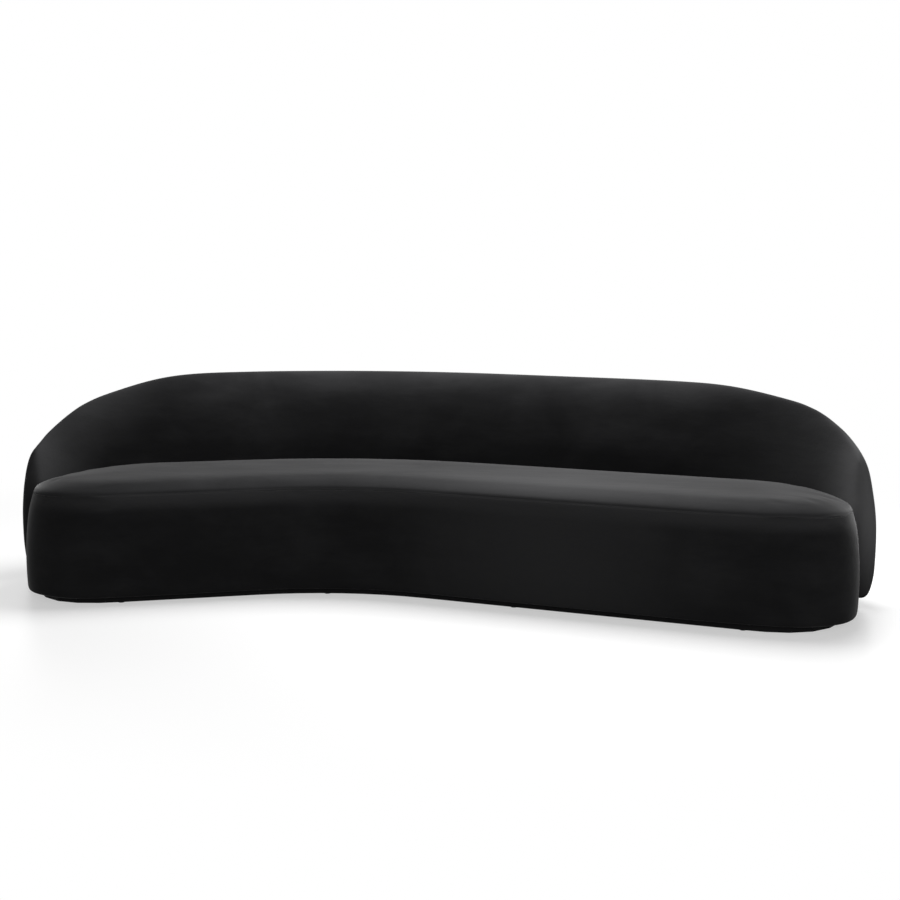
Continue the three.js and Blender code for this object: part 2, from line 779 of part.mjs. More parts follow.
// All rings of the back's skin at a depth below the outside of the cloth
function backRings(depth, isCloth) {
  const rings = [];
  const noseEnd = THREE.MathUtils.degToRad(back.noseEndDegrees);
  const noseTurns = Array.from({ length: steps.nose }, (_, i) => (noseEnd * (i + 1)) / steps.nose);
  const first = sections[0];
  const last = sections[lastSection];
  const firstPoints = sectionPoints(first, depth, isCloth);
  const lastPoints = sectionPoints(last, depth, isCloth);
  for (const turn of [...noseTurns].reverse()) rings.push(noseRing(first, firstPoints, depth, turn));
  for (const section of sections) {
    rings.push(sectionPoints(section, depth, isCloth).map(([w, z]) => toSpace(section.ray, w, z)));
  }
  for (const turn of noseTurns) rings.push(noseRing(last, lastPoints, depth, turn));
  return rings;
}

// Faces of the back's skin; keep tells which cells belong to the piece
function backFaces(ringCount, size, keep) {
  const faces = [];
  for (let i = 0; i + 1 < ringCount; i++) {
    for (let k = 0; k + 1 < size; k++) {
      const corner = i * size + k;
      if (keep(i, k)) faces.push([corner, corner + size, corner + size + 1, corner + 1]);
    }
  }
  if (keep(0, 0)) {
    const end = (ringCount - 1) * size;
    for (let k = 0; k < Math.floor((size - 1) / 2); k++) {
      const m = size - 1 - k;
      const first = [k, k + 1, m - 1, m];
      const last = [end + k, end + m, end + m - 1, end + k + 1];
      faces.push(m - 1 === k + 1 ? first.slice(0, 2).concat(m) : first);
      faces.push(m - 1 === k + 1 ? last.slice(0, 3) : last);
    }
  }
  return faces;
}

// The rear panel starts behind each nose and below the rear seam
const panelStart = steps.nose + 1;
const seamAngle = (Math.PI / 2) * back.seamShare;
const cellsBelowSeam = outerAngles(true).filter((a) => a > seamAngle).length + steps.lower;
const seamCell = sectionPoints(sections[0], 0, true).length - 2 - cellsBelowSeam;

// Adds a ring a seam's width past each end of the rear panel, on the flats between its neighbours
function withSeamRings(rings) {
  const between = (from, to) => from.map((p, k) => p.clone().lerp(to[k], seamGap / p.distanceTo(to[k])));
  const far = rings.length - 1 - panelStart;
  return [
    ...rings.slice(0, panelStart + 1),
    between(rings[panelStart], rings[panelStart + 1]),
    ...rings.slice(panelStart + 1, far),
    between(rings[far], rings[far - 1]),
    ...rings.slice(far),
  ];
}

function backCover(isRearPanel) {
  const outside = withSeamRings(backRings(0, true));
  const inside = withSeamRings(backRings(cloth, true));
  const lastCell = outside.length - 2;
  const alongSeam = (i) => Math.min(i, lastCell - i) - panelStart;
  const inPanel = (i, k) => k > seamCell && alongSeam(i) > 0;
  const outOfPanel = (i, k) => k < seamCell || alongSeam(i) < 0;
  const faces = backFaces(outside.length, outside[0].length, isRearPanel ? inPanel : outOfPanel);
  return thickSheet(outside.flat(), inside.flat(), faces);
}

// Foam of the back, glued up from equal parts along its length; a running gap parts them
function backFoamPart(index) {
  const outside = backRings(cloth + gap, false);
  const inside = backRings(backFoam, false);
  const size = outside[0].length;
  const last = outside.length - 1;
  const start = Math.round((last * index) / counts.backFoams);
  const end = Math.round((last * (index + 1)) / counts.backFoams);
  const faces = backFaces(outside.length, size, () => true).filter((face) => {
    const rings = face.map((a) => Math.floor(a / size));
    return Math.min(...rings) >= start && Math.max(...rings) <= end;
  });
  if (end < last) {
    for (const skin of [outside, inside]) {
      skin[end].forEach((p, k) => p.lerp(skin[end - 1][k], gap / p.distanceTo(skin[end - 1][k])));
    }
  }
  return thickSheet(outside.flat(), inside.flat(), faces);
}

// Back frame

const panelDepth = backFoam + gap;
const ribDepth = panelDepth + board.panel + frameClearance;

// The timber frame runs from arm to arm; the thin arm ends beyond it hold foam cores
const frameSections = sections.slice(steps.armEnd, sections.length - steps.armEnd);

function ringAt(section, depth, height) {
  return outlineAbove(sectionPoints(section, depth, false), height)
    .reverse()
    .map(([w, z]) => toSpace(section.ray, w, z));
}

// Stiff foam core of an arm's end, up to the first rib of the frame
function armCore(atFar) {
  const own = atFar ? sections.slice(-steps.armEnd - 1) : sections.slice(0, steps.armEnd + 1);
  const rings = own
    .map((section) => ({ ...section, top: section.top - armCoreDrop }))
    .map((section) => ringAt(section, panelDepth + frameClearance, level.rail));
  if (atFar) rings.reverse();
  const [beforeLast, last] = rings.slice(-2);
  last.forEach((p, k) => p.lerp(beforeLast[k], gap / p.distanceTo(beforeLast[k])));
  if (atFar) rings.reverse();
  return loft(rings);
}

// Bent bar that runs under the roll from arm to arm; grown all round, it cuts its notch in the ribs
function backTopRail(grow) {
  const rings = frameSections.map((section) => {
    const top = section.top - topRail.below + grow;
    const low = top - topRail.height - 2 * grow;
    const half = topRail.width / 2 + grow;
    const free = outlineAbove(sectionPoints(section, ribDepth, false), section.top - topRail.below);
    const middle = (free[0][0] + free[free.length - 1][0]) / 2;
    return [[middle - half, low], [middle + half, low], [middle + half, top], [middle - half, top]]
      .map(([w, z]) => toSpace(section.ray, w, z));
  });
  return loft(rings);
}

// Sections that carry a rib, spread from arm to arm
function ribSections() {
  const last = frameSections.length - 1;
  const at = (i) => frameSections[Math.round((last * i) / (counts.backRibs - 1))];
  return Array.from({ length: counts.backRibs }, (_, i) => at(i));
}

// The part of an upright outline above a height, cut exactly there
function outlineAbove(points, height) {
  const kept = [];
  points.forEach((point, i) => {
    const before = points[i - 1];
    if (before && before[1] < height !== point[1] < height) {
      kept.push([THREE.MathUtils.mapLinear(height, before[1], point[1], before[0], point[0]), height]);
    }
    if (point[1] >= height) kept.push(point);
  });
  return kept;
}

// The room for ribs inside the back's panels, less the notch for the top rail
const backRoom = loft(frameSections.map((section) => ringAt(section, ribDepth, level.rail)));
const ribRoom = toSolid(backRoom).subtract(toSolid(backTopRail(gap)));

// A rib is a slice of that room; the two end ribs stand just inside its ends
function backRib(section, index) {
  const slice = new THREE.BoxGeometry(section.outer, section.top, board.rib);
  const inwards = index === 0 ? 1 : index === counts.backRibs - 1 ? -1 : 0;
  const advance = (board.rib / 2 + gap) * inwards;
  slice.translate(section.outer / 2 + section.inner / 2, section.top / 2, advance);
  const ray = section.ray;
  const out = new THREE.Vector3(ray.dx, ray.dy, 0);
  const up = new THREE.Vector3(0, 0, 1);
  const along = new THREE.Vector3().crossVectors(out, up);
  slice.applyMatrix4(new THREE.Matrix4().makeBasis(out, up, along).setPosition(ray.x, ray.y, 0));
  return fromSolid(ribRoom.intersect(toSolid(slice)));
}

// Plan outline between the two walls of the back's section at a depth and height
function outlineBetweenWalls(depth, height) {
  const walls = frameSections.map((s) => {
    const cut = outlineAbove(sectionPoints(s, depth, false), height);
    return [cut[0][0], cut[cut.length - 1][0]].map((w) => toSpace(s.ray, w, 0));
  });
  return [...walls.map(([inner]) => inner).reverse(), ...walls.map(([, outer]) => outer)];
}

function backBottomBoard() {
  return flatPlate(outlineBetweenWalls(panelDepth, level.board), [], level.board, board.bottom);
}

function backDustSheet() {
  const innerSide = sections.map((s) => toSpace(s.ray, s.inner + back.lip + cloth, 0));
  const outerSide = sections.map((s) => toSpace(s.ray, s.outer - back.bottomDraw - back.lip - cloth, 0));
  const outline = [...innerSide.reverse(), ...outerSide];
  return flatPlate(outline, [], level.board - gap - dustSheet, dustSheet);
}

// Thin bent panel on the ribs: the upright inner face, or the outer side up to the rear seam
function backPanel(onInside) {
  const innerCount = 3;
  const pick = (depth) => frameSections.map((section) => {
    const points = outlineAbove(sectionPoints(section, depth, false), level.rail);
    const used = onInside ? points.slice(0, innerCount) : points.slice(-steps.lower - steps.roll);
    return used.map(([w, z]) => toSpace(section.ray, w, z));
  });
  const outside = pick(panelDepth);
  const inside = pick(panelDepth + board.panel);
  const size = outside[0].length;
  const faces = [];
  for (let i = 0; i + 1 < outside.length; i++) {
    for (let k = 0; k + 1 < size; k++) {
      faces.push([i * size + k, (i + 1) * size + k, (i + 1) * size + k + 1, i * size + k + 1]);
    }
  }
  return thickSheet(outside.flat(), inside.flat(), faces);
}

// Inner and outer edge of the back's plinth at a section
function plinthEdges(section) {
  const foot = section.outer - back.bottomDraw;
  const inset = (foot - section.inner) * plinth.backShare;
  return [section.inner + inset, foot - inset];
}

function backPlinth() {
  const innerSide = frameSections.map((s) => toSpace(s.ray, plinthEdges(s)[0], 0));
  const outerSide = frameSections.map((s) => toSpace(s.ray, plinthEdges(s)[1], 0));
  return notchedPlinth([...innerSide.reverse(), ...outerSide], []);
}

// Places for the glides along the back's plinth
function backGlidePlaces() {
  const last = frameSections.length - 1;
  return Array.from({ length: counts.backGlides }, (_, i) => {
    const section = frameSections[Math.round((last * (i + 0.5)) / counts.backGlides)];
    const [inner, outer] = plinthEdges(section);
    return toSpace(section.ray, (inner + outer) / 2, 0);
  });
}

addPiece('seat_top_cover', seatTopCover(), finish.velvet);
addPiece('seat_side_cover', seatSideCover(), finish.velvet);
addPiece('seat_foam', seatFoam(), finish.foam);
addPiece('seat_side_padding', sidePadding(), finish.foam);
addPiece('seat_bottom_board', bottomBoard(), finish.plywood);
addPiece('seat_deck', seatDeck(), finish.plywood);
addPiece('seat_front_rail', bentRail(shortened(sideRailRays(-1), gap)), finish.plywood);
addPiece('seat_rear_rail', bentRail(shortened(sideRailRays(1), gap)), finish.plywood);
addPiece('seat_short_end_rail', bentRail(endRays(false)), finish.plywood);
addPiece('seat_long_end_rail', bentRail(endRays(true)), finish.plywood);
seatRibPlaces().forEach((place, i) => addPiece(`seat_rib_${i + 1}`, seatRib(place), finish.plywood));
strapPlaces().forEach((place, i) => addPiece(`webbing_strap_${i + 1}`, strap(place), finish.webbing));
addPiece('seat_dust_sheet', seatDustSheet(), finish.felt);
addPiece('seat_plinth', seatPlinth(), finish.plinth);
seatGlidePlaces().forEach((place, i) => {
  addPiece(`seat_glide_${i + 1}`, glideShape(), finish.plastic).position.copy(place);
});

addPiece('back_inside_cover', backCover(false), finish.velvet);
addPiece('back_outside_cover', backCover(true), finish.velvet);
for (let i = 0; i < counts.backFoams; i++) addPiece(`back_foam_${i + 1}`, backFoamPart(i), finish.foam);
addPiece('short_arm_core', armCore(false), finish.foam);
addPiece('long_arm_core', armCore(true), finish.foam);
addPiece('back_inside_panel', backPanel(true), finish.plywood);
addPiece('back_outside_panel', backPanel(false), finish.plywood);
addPiece('back_top_rail', backTopRail(0), finish.beech);
addPiece('back_bottom_board', backBottomBoard(), finish.plywood);
addPiece('back_dust_sheet', backDustSheet(), finish.felt);
addPiece('back_plinth', backPlinth(), finish.plinth);
ribSections().forEach((section, i) => addPiece(`back_rib_${i + 1}`, backRib(section, i), finish.plywood));
backGlidePlaces().forEach((place, i) => {
  addPiece(`back_glide_${i + 1}`, glideShape(), finish.plastic).position.copy(place);
});

platePlaces().forEach((place, i) => {
  addPiece(`joining_plate_${i + 1}`, joiningPlate(place), finish.steel);
});

// The origin is the middle of the sofa's box, on the floor
const box = new THREE.Box3().setFromObject(sofa);
const middle = box.getCenter(new THREE.Vector3());
sofa.position.set(-middle.x, -middle.y, 0);

export default sofa;
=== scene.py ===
# Curved velvet sofa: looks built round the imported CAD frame. Metres, +Z up, the front faces -Y.
import json
import math

import bmesh
import bpy
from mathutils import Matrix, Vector
from mathutils.kdtree import KDTree


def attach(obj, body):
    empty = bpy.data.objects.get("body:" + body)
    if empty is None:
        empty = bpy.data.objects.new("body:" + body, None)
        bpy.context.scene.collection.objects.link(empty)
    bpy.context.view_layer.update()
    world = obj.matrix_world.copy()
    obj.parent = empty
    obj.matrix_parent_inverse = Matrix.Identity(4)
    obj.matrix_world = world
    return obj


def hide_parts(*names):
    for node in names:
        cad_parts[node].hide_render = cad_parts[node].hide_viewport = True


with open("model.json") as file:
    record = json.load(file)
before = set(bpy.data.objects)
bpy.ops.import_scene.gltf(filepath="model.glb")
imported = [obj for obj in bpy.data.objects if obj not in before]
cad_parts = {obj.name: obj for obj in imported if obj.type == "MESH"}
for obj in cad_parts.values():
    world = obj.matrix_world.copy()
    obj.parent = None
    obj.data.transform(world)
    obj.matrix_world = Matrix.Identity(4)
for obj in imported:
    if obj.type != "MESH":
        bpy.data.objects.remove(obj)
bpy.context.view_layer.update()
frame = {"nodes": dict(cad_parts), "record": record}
print("frame loaded with", len(frame["nodes"]), "nodes")


# Colours are written as sRGB hex and turned to linear here
def linear(hexColour):
    parts = [int(hexColour[i:i + 2], 16) / 255 for i in (1, 3, 5)]
    return [p / 12.92 if p <= 0.04045 else ((p + 0.055) / 1.055) ** 2.4 for p in parts] + [1]


# Puts a mesh, a light or a camera into the scene
def placeObject(name, data):
    made = bpy.data.objects.new(name, data)
    bpy.context.scene.collection.objects.link(made)
    return made


# Adds one node with its settings, socket values and links
def addNode(tree, kind, values=None, links=None, **settings):
    node = tree.nodes.new(kind)
    for name, value in settings.items():
        setattr(node, name, value)
    for socket, value in (values or {}).items():
        node.inputs[socket].default_value = value
    for socket, source in (links or {}).items():
        tree.links.new(source, node.inputs[socket])
    return node


# A new material holding a Principled shader and the place its patterns read
def startMaterial(name, shader):
    material = bpy.data.materials.new(name)
    material.use_nodes = True
    tree = material.node_tree
    principled = tree.nodes["Principled BSDF"]
    for socket, value in shader.items():
        principled.inputs[socket].default_value = value
    coordinates = addNode(tree, "ShaderNodeTexCoord")
    return material, tree, principled, coordinates.outputs["Object"]


def setRamp(node, places, *colours):
    ramp = node.color_ramp
    for element, place, colour in zip(ramp.elements, places, colours):
        element.position = place
        element.color = linear(colour)


# Millimetres between repeats to a texture's scale
def perMillimetres(size):
    return 1000 / size


velvetLook = {
    "roughness": 0.92,
    "ior": 1.46,
    "gloss": 0.12,
    "pile": "#1b1b1c",
    "pileLight": "#282829",
    "pileTurns": (0.16, 0.42),
    "sheenTint": "#ffffff",
    "sheenWeight": 0.27,
    "sheenRoughness": 0.32,
    "napPatch": 260,  # millimetres across one brushed patch of nap
    "strokeLength": 120,
    "strokeShape": (0.35, 1, 1.4),  # the strokes are long from side to side and short upright
    "strokeDepth": 0.004,
    "strokeBump": 0.5,
    "grain": 5,  # real pile is finer than a millimetre, drawn coarser so that it shows
    "grainDepth": 0.0006,
    "grainBump": 0.35,
    # Painted sheen and light: lighter pile in place of light on the seat's front and seam and on the arm
    # ends. Each entry gives where, along which axes, the reach and the colour there
    "paintedSheenSeat": (
        # painted light on the middle of the seat's front
        ((0.45, -0.4, 0.2), (1, 1, 1), 0.75, "#343435"),
        # painted sheen in a band along the seat's seam
        ((0, 0, 0.37), (0, 0, 1), 0.047, "#373738"),
    ),
    # Painted sheen on both arm ends and on the top of the left inner arm
    "paintedSheenBack": (
        ((-1.52, -0.25, 0.45), (1, 1, 1), 0.36, "#404041"),
        ((-1.43, 0.2, 0.66), (1, 1, 1), 0.34, "#4c4c4d"),
        ((1.5, -0.28, 0.42), (1, 1, 1), 0.68, "#4e4e4f"),
        ((1.57, -0.24, 0.34), (1, 1, 1), 0.36, "#757576"),
    ),
}


# Cotton velvet, woven and cut: no gloss straight on, a soft bloom where the pile is seen from the side
def makeVelvet(name, paintedSheen):
    look = velvetLook
    material, tree, shader, place = startMaterial(name, {
        "Roughness": look["roughness"],
        "IOR": look["ior"],
        "Specular IOR Level": look["gloss"],
        "Sheen Weight": look["sheenWeight"],
        "Sheen Roughness": look["sheenRoughness"],
        "Sheen Tint": linear(look["sheenTint"]),
    })
    patches = addNode(tree, "ShaderNodeTexNoise", {
        "Scale": perMillimetres(look["napPatch"]), "Detail": 3, "Roughness": 0.55, "Distortion": 0.6,
    }, {"Vector": place})
    stretched = addNode(tree, "ShaderNodeMapping", {"Scale": look["strokeShape"]}, {"Vector": place})
    strokes = addNode(tree, "ShaderNodeTexNoise",
                      {"Scale": perMillimetres(look["strokeLength"]), "Detail": 4, "Roughness": 0.6},
                      {"Vector": stretched.outputs["Vector"]})
    both = addNode(tree, "ShaderNodeMath", None,
                   {0: patches.outputs["Fac"], 1: strokes.outputs["Fac"]}, operation="MULTIPLY")
    ramp = addNode(tree, "ShaderNodeValToRGB", None, {"Fac": both.outputs[0]})
    setRamp(ramp, look["pileTurns"], look["pile"], look["pileLight"])
    colour = ramp.outputs["Color"]
    # Painted sheen: the pile is made lighter round given places, in place of light catching those surfaces
    for centre, axes, reach, paintedColour in paintedSheen:
        along = addNode(tree, "ShaderNodeVectorMath", {1: axes}, {0: place}, operation="MULTIPLY")
        away = addNode(tree, "ShaderNodeVectorMath", {1: centre}, {0: along.outputs["Vector"]},
                       operation="DISTANCE")
        near = addNode(tree, "ShaderNodeMapRange", {"From Min": reach, "From Max": 0},
                       {"Value": away.outputs["Value"]}, interpolation_type="SMOOTHSTEP")
        paintedMix = addNode(tree, "ShaderNodeMix", {"B": linear(paintedColour)},
                         {"Factor": near.outputs["Result"], "A": colour}, data_type="RGBA")
        colour = paintedMix.outputs["Result"]
    tree.links.new(colour, shader.inputs["Base Color"])
    grain = addNode(tree, "ShaderNodeTexNoise",
                    {"Scale": perMillimetres(look["grain"]), "Detail": 2, "Roughness": 0.7},
                    {"Vector": place})
    grainBump = addNode(tree, "ShaderNodeBump",
                        {"Strength": look["grainBump"], "Distance": look["grainDepth"]},
                        {"Height": grain.outputs["Fac"]})
    napBump = addNode(tree, "ShaderNodeBump",
                      {"Strength": look["strokeBump"], "Distance": look["strokeDepth"]},
                      {"Height": strokes.outputs["Fac"], "Normal": grainBump.outputs["Normal"]})
    tree.links.new(napBump.outputs["Normal"], shader.inputs["Normal"])
    return material


foamLook = {
    "roughness": 0.95,
    "gloss": 0.2,
    "dark": "#e6dcc0",
    "light": "#f0e8d2",
    "turns": (0.3, 0.7),
    "toneSpot": 180,
    "cell": 4,
    "cellDepth": 0.0008,
    "cellBump": 0.6,
}


# Open-cell polyurethane foam, cut from the block: pale cream, dull, with fine round cells
def makeFoam():
    look = foamLook
    material, tree, shader, place = startMaterial("foamOpenCell", {
        "Roughness": look["roughness"], "Specular IOR Level": look["gloss"]})
    cells = addNode(tree, "ShaderNodeTexVoronoi", {"Scale": perMillimetres(look["cell"])}, {"Vector": place})
    tone = addNode(tree, "ShaderNodeTexNoise", {"Scale": perMillimetres(look["toneSpot"]), "Detail": 3},
                   {"Vector": place})
    ramp = addNode(tree, "ShaderNodeValToRGB", None, {"Fac": tone.outputs["Fac"]})
    setRamp(ramp, look["turns"], look["dark"], look["light"])
    tree.links.new(ramp.outputs["Color"], shader.inputs["Base Color"])
    bump = addNode(tree, "ShaderNodeBump", {"Strength": look["cellBump"], "Distance": look["cellDepth"]},
                   {"Height": cells.outputs["Distance"]})
    tree.links.new(bump.outputs["Normal"], shader.inputs["Normal"])
    return material


woodLook = {
    "roughness": 0.6,
    "gloss": 0.35,
    "turns": (0.32, 0.68),
    "grainDepth": 0.0005,
    "grainBump": 0.3,
    "plyShare": 0.35,
    "waveUnits": 6.3,  # turns a ply's thickness into the scale of the wave texture
    "plywood": {"dark": "#b8935f", "light": "#d8bd8e", "grainLength": 60, "fleck": 9, "ply": 1.5},
    "beech": {"dark": "#b98a5c", "light": "#d9b284", "grainLength": 35, "fleck": 12, "ply": 0},
}


# Birch plywood and solid beech: long pale grain with flecks, the plywood with its plies at the edges
def makeWood(name, wood):
    look = woodLook
    material, tree, shader, place = startMaterial(name, {
        "Roughness": look["roughness"], "Specular IOR Level": look["gloss"]})
    along = addNode(tree, "ShaderNodeMapping", {"Scale": (1, wood["fleck"], wood["fleck"])},
                    {"Vector": place})
    grain = addNode(tree, "ShaderNodeTexNoise", {
        "Scale": perMillimetres(wood["grainLength"]), "Detail": 5, "Roughness": 0.62, "Distortion": 0.4,
    }, {"Vector": along.outputs["Vector"]})
    ramp = addNode(tree, "ShaderNodeValToRGB", None, {"Fac": grain.outputs["Fac"]})
    setRamp(ramp, look["turns"], wood["dark"], wood["light"])
    colour = ramp.outputs["Color"]
    if wood["ply"]:
        bands = addNode(tree, "ShaderNodeTexWave",
                        {"Scale": perMillimetres(wood["ply"] * look["waveUnits"]), "Distortion": 0.3},
                        {"Vector": place}, bands_direction="Z")
        layers = addNode(tree, "ShaderNodeMix", {"Factor": look["plyShare"]},
                         {"A": colour, "B": bands.outputs["Color"]}, data_type="RGBA", blend_type="MULTIPLY")
        colour = layers.outputs["Result"]
    tree.links.new(colour, shader.inputs["Base Color"])
    bump = addNode(tree, "ShaderNodeBump", {"Strength": look["grainBump"], "Distance": look["grainDepth"]},
                   {"Height": grain.outputs["Fac"]})
    tree.links.new(bump.outputs["Normal"], shader.inputs["Normal"])
    return material


webbingLook = {
    "roughness": 0.85,
    "gloss": 0.25,
    "dark": "#1b1a19",
    "light": "#3a3835",
    "turns": (0.1, 0.8),
    "warp": 19,  # scale of the wave texture, which puts the ribs 6 mm apart
    "weft": 13,  # and these 4 mm
    "unevenness": 0.4,
    "ribDepth": 0.0008,
    "ribBump": 0.7,
}


# Elastic upholstery webbing, woven: warp and weft ribs that make a dull dark grid
def makeWebbing():
    look = webbingLook
    material, tree, shader, place = startMaterial("webbingWoven", {
        "Roughness": look["roughness"], "Specular IOR Level": look["gloss"]})
    warp = addNode(tree, "ShaderNodeTexWave",
                   {"Scale": perMillimetres(look["warp"]), "Distortion": look["unevenness"]},
                   {"Vector": place}, bands_direction="X")
    weft = addNode(tree, "ShaderNodeTexWave",
                   {"Scale": perMillimetres(look["weft"]), "Distortion": look["unevenness"]},
                   {"Vector": place}, bands_direction="Y")
    weave = addNode(tree, "ShaderNodeMath", None, {0: warp.outputs["Fac"], 1: weft.outputs["Fac"]},
                    operation="MULTIPLY")
    ramp = addNode(tree, "ShaderNodeValToRGB", None, {"Fac": weave.outputs[0]})
    setRamp(ramp, look["turns"], look["dark"], look["light"])
    tree.links.new(ramp.outputs["Color"], shader.inputs["Base Color"])
    bump = addNode(tree, "ShaderNodeBump", {"Strength": look["ribBump"], "Distance": look["ribDepth"]},
                   {"Height": weave.outputs[0]})
    tree.links.new(bump.outputs["Normal"], shader.inputs["Normal"])
    return material


dustClothLook = {
    "roughness": 0.9,
    "gloss": 0.2,
    "dark": "#0d0d0e",
    "light": "#1e1e20",
    "turns": (0.3, 0.75),
    "fibre": 9,
    "dot": 6,
    "dotShift": 0.15,
    "dotDepth": 0.0004,
    "dotBump": 0.5,
}


# Spunbond dust cloth: black, dull, with a fine pressed dot pattern
def makeDustCloth():
    look = dustClothLook
    material, tree, shader, place = startMaterial("dustClothSpunbond", {
        "Roughness": look["roughness"], "Specular IOR Level": look["gloss"]})
    dots = addNode(tree, "ShaderNodeTexVoronoi",
                   {"Scale": perMillimetres(look["dot"]), "Randomness": look["dotShift"]}, {"Vector": place})
    fibres = addNode(tree, "ShaderNodeTexNoise", {"Scale": perMillimetres(look["fibre"]), "Detail": 5},
                     {"Vector": place})
    ramp = addNode(tree, "ShaderNodeValToRGB", None, {"Fac": fibres.outputs["Fac"]})
    setRamp(ramp, look["turns"], look["dark"], look["light"])
    tree.links.new(ramp.outputs["Color"], shader.inputs["Base Color"])
    bump = addNode(tree, "ShaderNodeBump", {"Strength": look["dotBump"], "Distance": look["dotDepth"]},
                   {"Height": dots.outputs["Distance"]})
    tree.links.new(bump.outputs["Normal"], shader.inputs["Normal"])
    return material


steelLook = {
    "dark": "#8b8f93",
    "light": "#a9adb1",
    "turns": (0.3, 0.7),
    "roughness": (0.3, 0.5),
    "brushLength": 60,
    "brushShape": (1, 40, 40),
    "brushDepth": 0.0002,
    "brushBump": 0.15,
}


# Zinc-plated steel plate, brushed along its length: cool grey, with the light drawn out in streaks
def makeSteel():
    look = steelLook
    material, tree, shader, place = startMaterial("steelZincPlated", {"Metallic": 1})
    along = addNode(tree, "ShaderNodeMapping", {"Scale": look["brushShape"]}, {"Vector": place})
    brush = addNode(tree, "ShaderNodeTexNoise", {"Scale": perMillimetres(look["brushLength"]), "Detail": 4},
                    {"Vector": along.outputs["Vector"]})
    ramp = addNode(tree, "ShaderNodeValToRGB", None, {"Fac": brush.outputs["Fac"]})
    setRamp(ramp, look["turns"], look["dark"], look["light"])
    tree.links.new(ramp.outputs["Color"], shader.inputs["Base Color"])
    low, high = look["roughness"]
    rough = addNode(tree, "ShaderNodeMapRange", {"To Min": low, "To Max": high},
                    {"Value": brush.outputs["Fac"]})
    tree.links.new(rough.outputs["Result"], shader.inputs["Roughness"])
    bump = addNode(tree, "ShaderNodeBump", {"Strength": look["brushBump"], "Distance": look["brushDepth"]},
                   {"Height": brush.outputs["Fac"]})
    tree.links.new(bump.outputs["Normal"], shader.inputs["Normal"])
    return material


plasticLook = {
    "ior": 1.49,
    "gloss": 0.5,
    "dark": "#0f0f10",
    "light": "#1c1c1d",
    "turns": (0.35, 0.75),
    "roughness": (0.35, 0.6),
    "scuff": 25,
    "grain": 1.5,
    "grainDepth": 0.0002,
    "grainBump": 0.2,
}
lacquerLook = {
    "ior": 1.5,
    "gloss": 0.12,
    "dark": "#0b0b0c",
    "light": "#151516",
    "turns": (0.35, 0.75),
    "roughness": (0.65, 0.85),
    "scuff": 90,
    "grain": 7,  # the orange peel of the spray
    "grainDepth": 0.0003,
    "grainBump": 0.15,
}


# A smooth black finish with a fine grain and scuffs: the moulded polypropylene of the glides, satin with
# a spark-eroded grain, and the matt lacquer sprayed on the plinths, with a faint orange peel
def makeSmoothFinish(name, look):
    material, tree, shader, place = startMaterial(name, {
        "IOR": look["ior"], "Specular IOR Level": look["gloss"]})
    grain = addNode(tree, "ShaderNodeTexNoise", {"Scale": perMillimetres(look["grain"]), "Detail": 2},
                    {"Vector": place})
    scuffs = addNode(tree, "ShaderNodeTexNoise", {"Scale": perMillimetres(look["scuff"]), "Detail": 5},
                     {"Vector": place})
    ramp = addNode(tree, "ShaderNodeValToRGB", None, {"Fac": scuffs.outputs["Fac"]})
    setRamp(ramp, look["turns"], look["dark"], look["light"])
    tree.links.new(ramp.outputs["Color"], shader.inputs["Base Color"])
    low, high = look["roughness"]
    rough = addNode(tree, "ShaderNodeMapRange", {"To Min": low, "To Max": high},
                    {"Value": scuffs.outputs["Fac"]})
    tree.links.new(rough.outputs["Result"], shader.inputs["Roughness"])
    bump = addNode(tree, "ShaderNodeBump", {"Strength": look["grainBump"], "Distance": look["grainDepth"]},
                   {"Height": grain.outputs["Fac"]})
    tree.links.new(bump.outputs["Normal"], shader.inputs["Normal"])
    return material


materials = {
    "velvet": makeVelvet("velvetCottonPile", velvetLook["paintedSheenSeat"]),
    "foam": makeFoam(),
    "plywood": makeWood("plywoodBirch", woodLook["plywood"]),
    "beech": makeWood("beechSteamed", woodLook["beech"]),
    "webbing": makeWebbing(),
    "felt": makeDustCloth(),
    "steel": makeSteel(),
    "plastic": makeSmoothFinish("polypropyleneMoulded", plasticLook),
    "lacquer": makeSmoothFinish("lacquerMattBlack", lacquerLook),
}
# Velvet with painted sheen on the arm ends, for the back covers
velvetPaintedSheen = makeVelvet("velvetPaintedSheenArms", velvetLook["paintedSheenBack"])
print("materials made:", len(materials) + 1)

# Every carried-over CAD node takes the finish of its slot in the record
slotOfNode = {part["node"]: part["material_slot"] for part in frame["record"]["subparts"]}
for name, node in frame["nodes"].items():
    node.data.materials.clear()
    node.data.materials.append(materials[slotOfNode[name]])
print("finishes given to the frame:", len(slotOfNode))


# A piece of the part with its finish, in place of CAD nodes
def finishPiece(name, mesh, slot, *nodes):
    piece = placeObject(name, mesh)
    mesh.materials.clear()
    mesh.materials.append(materials[slot])
    for face in mesh.polygons:
        face.use_smooth = True
    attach(piece, "root")
    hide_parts(*nodes)
    return piece


